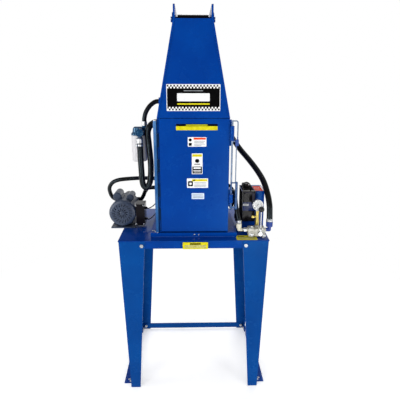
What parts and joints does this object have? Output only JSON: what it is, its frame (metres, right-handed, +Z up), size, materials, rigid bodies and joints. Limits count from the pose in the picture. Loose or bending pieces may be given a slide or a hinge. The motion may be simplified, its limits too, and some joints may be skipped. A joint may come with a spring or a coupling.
{
  "type": "oil filter crusher",
  "caption": "Bench-stand hydraulic oil filter crusher with door chamber, tapered cylinder hood, motor pump, oil tank, lever valve, gauge and spin-on filter.",
  "frame": {"origin": "centre of the four floor anchor holes, on the floor", "axes": "+Z up, +X to the machine's right as seen from its door, -Y towards the person at the door"},
  "size_m": [1.0391, 0.67, 2.246],
  "materials": {
    "blue_paint": "gloss",
    "zinc": "zinc plated",
    "black_enamel": "satin",
    "bright_steel": "ground",
    "navy_enamel": "satin",
    "black_plastic": "matt",
    "cast_valve": "machined casting",
    "white_enamel": "gloss",
    "seal_rubber": "matt",
    "hose_rubber": "matt",
    "clear_glass": "clear"
  },
  "bodies": {
    "frame": {"table_top": "blue_paint", "leg_front_left": "blue_paint", "leg_front_right": "blue_paint", "leg_rear_left": "blue_paint", "leg_rear_right": "blue_paint", "skid_left": "blue_paint", "skid_right": "blue_paint", "rear_crossbar": "blue_paint", "fasteners": "zinc", "base_plate": "blue_paint", "drain_spout": "blue_paint", "side_plate_left": "blue_paint", "side_plate_right": "blue_paint", "back_plate": "blue_paint", "hood_front": "blue_paint", "guide_plate": "blue_paint", "top_pin": "zinc", "cylinder_barrel": "black_enamel", "cylinder_gland": "black_enamel", "frame_hinge": "blue_paint", "hinge_pin": "bright_steel", "latch_brackets": "blue_paint", "motor_frame": "navy_enamel", "fan_cover": "navy_enamel", "motor_base": "navy_enamel", "start_capacitor_cover": "navy_enamel", "run_capacitor_cover": "navy_enamel", "terminal_box": "black_enamel", "pump_housing": "black_enamel", "pump_fittings": "black_enamel", "oil_tank": "blue_paint", "tank_lid": "blue_paint", "breather_cap": "black_plastic", "control_box": "black_enamel", "valve_body": "cast_valve", "valve_fittings": "zinc", "gauge_case": "zinc", "gauge_glass": "clear_glass", "filter_head": "blue_paint", "filter_can": "white_enamel", "filter_fittings": "zinc", "pump_hoses": "hose_rubber", "return_hoses": "hose_rubber", "ram_hose": "hose_rubber", "motor_leads": "hose_rubber"},
    "door": {"door_panel": "blue_paint", "door_hinge": "blue_paint"},
    "latch": {"latch_handle": "blue_paint"},
    "ram": {"piston": "bright_steel", "piston_rod": "bright_steel", "piston_seals": "seal_rubber", "crush_platen": "blue_paint"},
    "rotor": {"motor_shaft": "bright_steel", "motor_fan": "black_plastic", "drive_gear": "bright_steel"},
    "idler": {"idler_gear": "bright_steel"},
    "lever": {"valve_lever": "zinc", "lever_knob": "black_plastic"},
    "spool": {"valve_spool": "bright_steel"},
    "needle": {"gauge_needle": "black_plastic"}
  },
  "joints": [
    {"name": "door_swing", "type": "hinge", "parent": "frame", "child": "door", "pos_m": [-0.212, -0.256, 1.34], "axis": [0, 0, -1], "range_deg": [0, 120]},
    {"name": "latch_swing", "type": "hinge", "parent": "frame", "child": "latch", "pos_m": [0.213, -0.27, 1.5], "axis": [0, 0, -1], "range_deg": [0, 175]},
    {"name": "ram_stroke", "type": "slide", "parent": "frame", "child": "ram", "axis": [0, 0, -1], "range_m": [0, 0.45]},
    {"name": "motor_spin", "type": "hinge", "parent": "frame", "child": "rotor", "pos_m": [-0.44, 0, 1.088], "axis": [0, 1, 0], "continuous": true},
    {"name": "idler_spin", "type": "hinge", "parent": "frame", "child": "idler", "pos_m": [-0.44, 0.166, 1.124], "axis": [0, 1, 0], "continuous": true},
    {"name": "lever_tilt", "type": "hinge", "parent": "frame", "child": "lever", "pos_m": [0.388, -0.29, 1.0456], "axis": [1, 0, 0], "range_deg": [-8, 8], "stiffness_Nm_per_rad": 6},
    {"name": "spool_slide", "type": "slide", "parent": "frame", "child": "spool", "axis": [0, 1, 0], "range_m": [-0.0031, 0.0031]},
    {"name": "needle_turn", "type": "hinge", "parent": "frame", "child": "needle", "pos_m": [0.376, -0.23, 1.174], "axis": [0, 1, 0], "range_deg": [0, 270], "stiffness_Nm_per_rad": 0.004}
  ],
  "couplings": [
    {"joint": "idler_spin", "follows": "motor_spin", "ratio": -1},
    {"joint": "spool_slide", "follows": "lever_tilt", "m_per_rad": 0.022}
  ]
}
